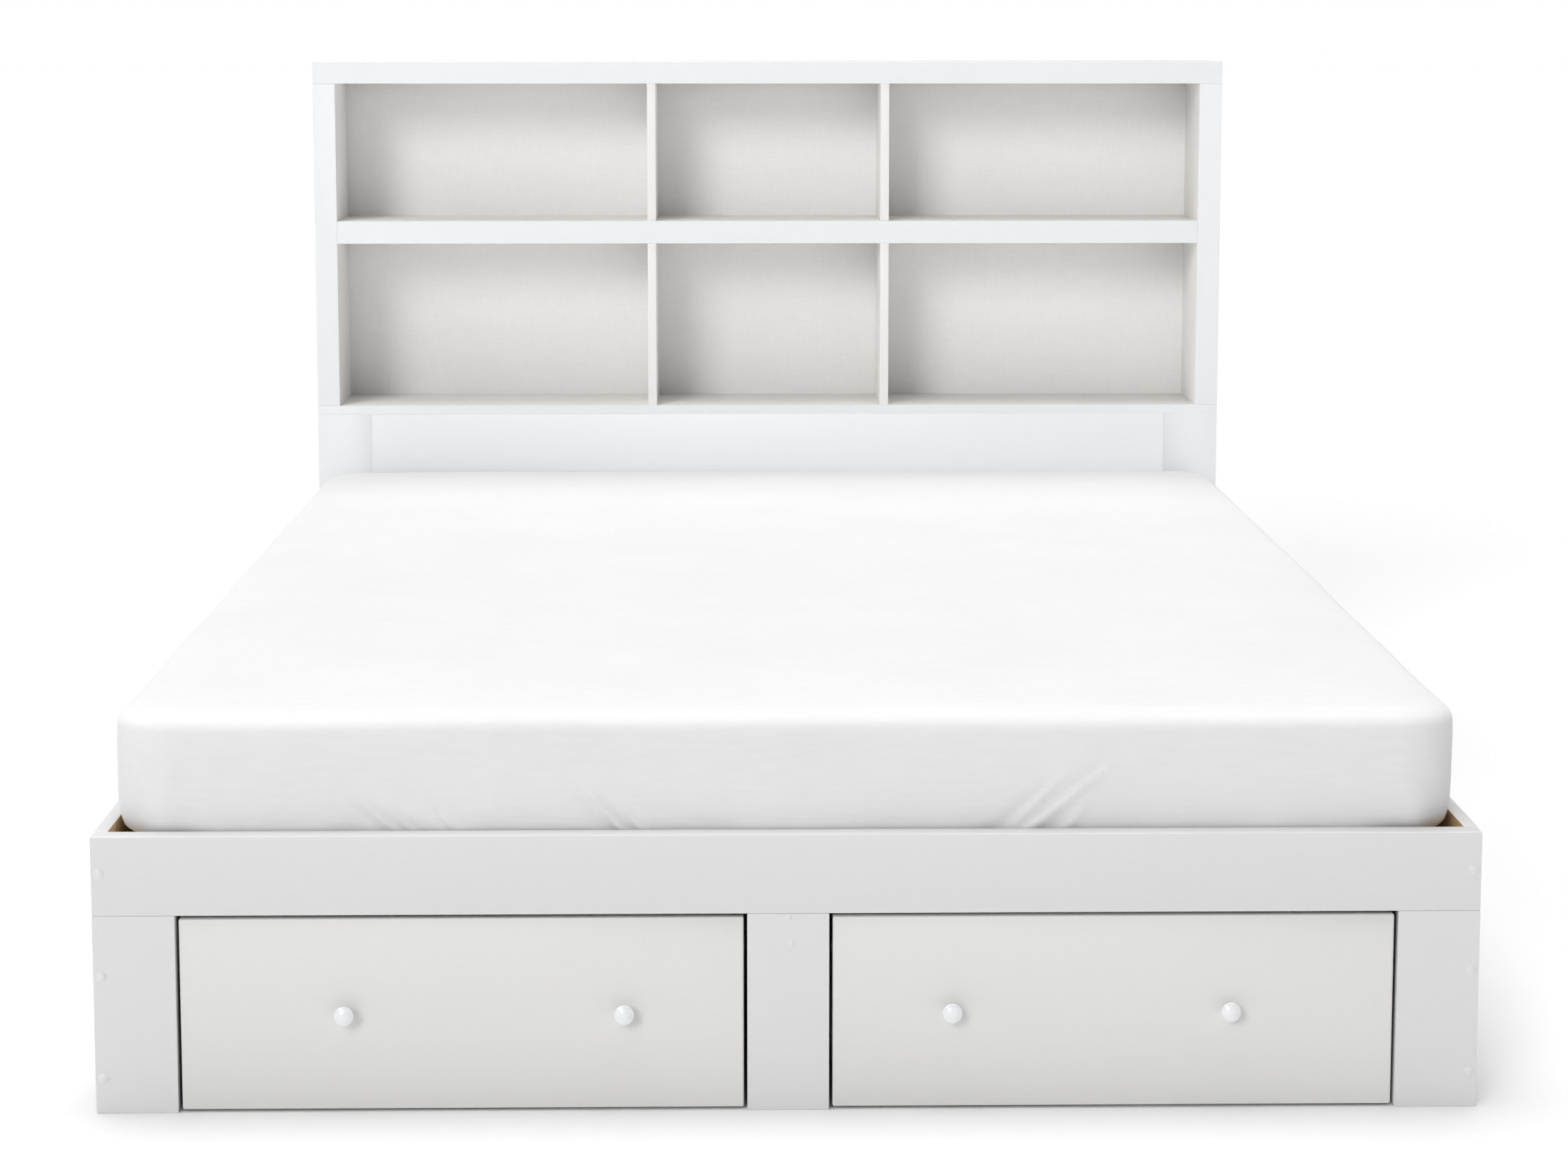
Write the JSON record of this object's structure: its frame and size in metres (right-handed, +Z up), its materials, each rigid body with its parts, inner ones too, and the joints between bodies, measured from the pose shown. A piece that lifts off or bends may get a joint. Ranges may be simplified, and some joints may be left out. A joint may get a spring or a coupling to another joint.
{
  "type": "platform bed with storage drawers",
  "caption": "Platform bed with a bookcase headboard, a sheeted mattress on slats, and roll-out storage drawers with round knobs under the foot.",
  "frame": {"origin": "on the floor, at the middle of the whole bed's length and width", "axes": "+Y toward the headboard, +X to the right seen from the foot, +Z up"},
  "size_m": [1.59, 2.273, 1.179],
  "materials": {
    "white_board": "satin",
    "drawer_front": "satin",
    "drawer_box": "satin",
    "back_panel": "matte",
    "pine": "matte",
    "bedding": "matte",
    "knob": "gloss",
    "zinc_steel": "satin",
    "caster_wheel": "satin"
  },
  "bodies": {
    "bed": {"beam_foot_front": "pine", "beam_foot_rear": "pine", "bookcase_back": "back_panel", "bookcase_bottom": "white_board", "bookcase_divider_lower_left": "white_board", "bookcase_divider_lower_right": "white_board", "bookcase_divider_upper_left": "white_board", "bookcase_divider_upper_right": "white_board", "bookcase_shelf": "white_board", "bookcase_side_left": "white_board", "bookcase_side_right": "white_board", "bookcase_top": "white_board", "center_beam": "pine", "footboard_leg_center": "white_board", "footboard_leg_left": "white_board", "footboard_leg_right": "white_board", "footboard_rail": "white_board", "headboard_end_left": "white_board", "headboard_end_right": "white_board", "headboard_lower_panel": "white_board", "headboard_stile_left": "white_board", "headboard_stile_right": "white_board", "ledger_left": "pine", "ledger_right": "pine", "mattress": "bedding", "side_panel_left": "white_board", "side_panel_right": "white_board", "slat_roll_foot": "pine", "slat_roll_head": "pine"},
    "drawer_left": {"drawer_left_back": "drawer_box", "drawer_left_caster_bracket_front_inner": "zinc_steel", "drawer_left_caster_bracket_front_outer": "zinc_steel", "drawer_left_caster_bracket_rear_inner": "zinc_steel", "drawer_left_caster_bracket_rear_outer": "zinc_steel", "drawer_left_floor": "drawer_box", "drawer_left_front": "drawer_front", "drawer_left_knob_inner": "knob", "drawer_left_knob_outer": "knob", "drawer_left_side_inner": "drawer_box", "drawer_left_side_outer": "drawer_box"},
    "drawer_right": {"drawer_right_back": "drawer_box", "drawer_right_caster_bracket_front_inner": "zinc_steel", "drawer_right_caster_bracket_front_outer": "zinc_steel", "drawer_right_caster_bracket_rear_inner": "zinc_steel", "drawer_right_caster_bracket_rear_outer": "zinc_steel", "drawer_right_floor": "drawer_box", "drawer_right_front": "drawer_front", "drawer_right_knob_inner": "knob", "drawer_right_knob_outer": "knob", "drawer_right_side_inner": "drawer_box", "drawer_right_side_outer": "drawer_box"},
    "drawer_left_wheel_front_inner_body": {"drawer_left_wheel_front_inner": "caster_wheel"},
    "drawer_left_wheel_front_outer_body": {"drawer_left_wheel_front_outer": "caster_wheel"},
    "drawer_left_wheel_rear_inner_body": {"drawer_left_wheel_rear_inner": "caster_wheel"},
    "drawer_left_wheel_rear_outer_body": {"drawer_left_wheel_rear_outer": "caster_wheel"},
    "drawer_right_wheel_front_inner_body": {"drawer_right_wheel_front_inner": "caster_wheel"},
    "drawer_right_wheel_front_outer_body": {"drawer_right_wheel_front_outer": "caster_wheel"},
    "drawer_right_wheel_rear_inner_body": {"drawer_right_wheel_rear_inner": "caster_wheel"},
    "drawer_right_wheel_rear_outer_body": {"drawer_right_wheel_rear_outer": "caster_wheel"}
  },
  "joints": [
    {"name": "drawer_left_slide", "type": "slide", "parent": "bed", "child": "drawer_left", "axis": [0, -1, 0], "range_m": [0, 0.62]},
    {"name": "drawer_left_wheel_front_inner_spin", "type": "hinge", "parent": "drawer_left", "child": "drawer_left_wheel_front_inner_body", "pos_m": [-0.091, -1.0235, 0.0205], "axis": [1, 0, 0], "continuous": true},
    {"name": "drawer_left_wheel_front_outer_spin", "type": "hinge", "parent": "drawer_left", "child": "drawer_left_wheel_front_outer_body", "pos_m": [-0.608, -1.0235, 0.0205], "axis": [1, 0, 0], "continuous": true},
    {"name": "drawer_left_wheel_rear_inner_spin", "type": "hinge", "parent": "drawer_left", "child": "drawer_left_wheel_rear_inner_body", "pos_m": [-0.091, -0.3935, 0.0205], "axis": [1, 0, 0], "continuous": true},
    {"name": "drawer_left_wheel_rear_outer_spin", "type": "hinge", "parent": "drawer_left", "child": "drawer_left_wheel_rear_outer_body", "pos_m": [-0.608, -0.3935, 0.0205], "axis": [1, 0, 0], "continuous": true},
    {"name": "drawer_right_slide", "type": "slide", "parent": "bed", "child": "drawer_right", "axis": [0, -1, 0], "range_m": [0, 0.62]},
    {"name": "drawer_right_wheel_front_inner_spin", "type": "hinge", "parent": "drawer_right", "child": "drawer_right_wheel_front_inner_body", "pos_m": [0.091, -1.0235, 0.0205], "axis": [1, 0, 0], "continuous": true},
    {"name": "drawer_right_wheel_front_outer_spin", "type": "hinge", "parent": "drawer_right", "child": "drawer_right_wheel_front_outer_body", "pos_m": [0.608, -1.0235, 0.0205], "axis": [1, 0, 0], "continuous": true},
    {"name": "drawer_right_wheel_rear_inner_spin", "type": "hinge", "parent": "drawer_right", "child": "drawer_right_wheel_rear_inner_body", "pos_m": [0.091, -0.3935, 0.0205], "axis": [1, 0, 0], "continuous": true},
    {"name": "drawer_right_wheel_rear_outer_spin", "type": "hinge", "parent": "drawer_right", "child": "drawer_right_wheel_rear_outer_body", "pos_m": [0.608, -0.3935, 0.0205], "axis": [1, 0, 0], "continuous": true}
  ],
  "couplings": [
    {"joint": "drawer_left_wheel_front_inner_spin", "follows": "drawer_left_slide", "rad_per_m": 50},
    {"joint": "drawer_left_wheel_front_outer_spin", "follows": "drawer_left_slide", "rad_per_m": 50},
    {"joint": "drawer_left_wheel_rear_inner_spin", "follows": "drawer_left_slide", "rad_per_m": 50},
    {"joint": "drawer_left_wheel_rear_outer_spin", "follows": "drawer_left_slide", "rad_per_m": 50},
    {"joint": "drawer_right_wheel_front_inner_spin", "follows": "drawer_right_slide", "rad_per_m": 50},
    {"joint": "drawer_right_wheel_front_outer_spin", "follows": "drawer_right_slide", "rad_per_m": 50},
    {"joint": "drawer_right_wheel_rear_inner_spin", "follows": "drawer_right_slide", "rad_per_m": 50},
    {"joint": "drawer_right_wheel_rear_outer_spin", "follows": "drawer_right_slide", "rad_per_m": 50}
  ]
}
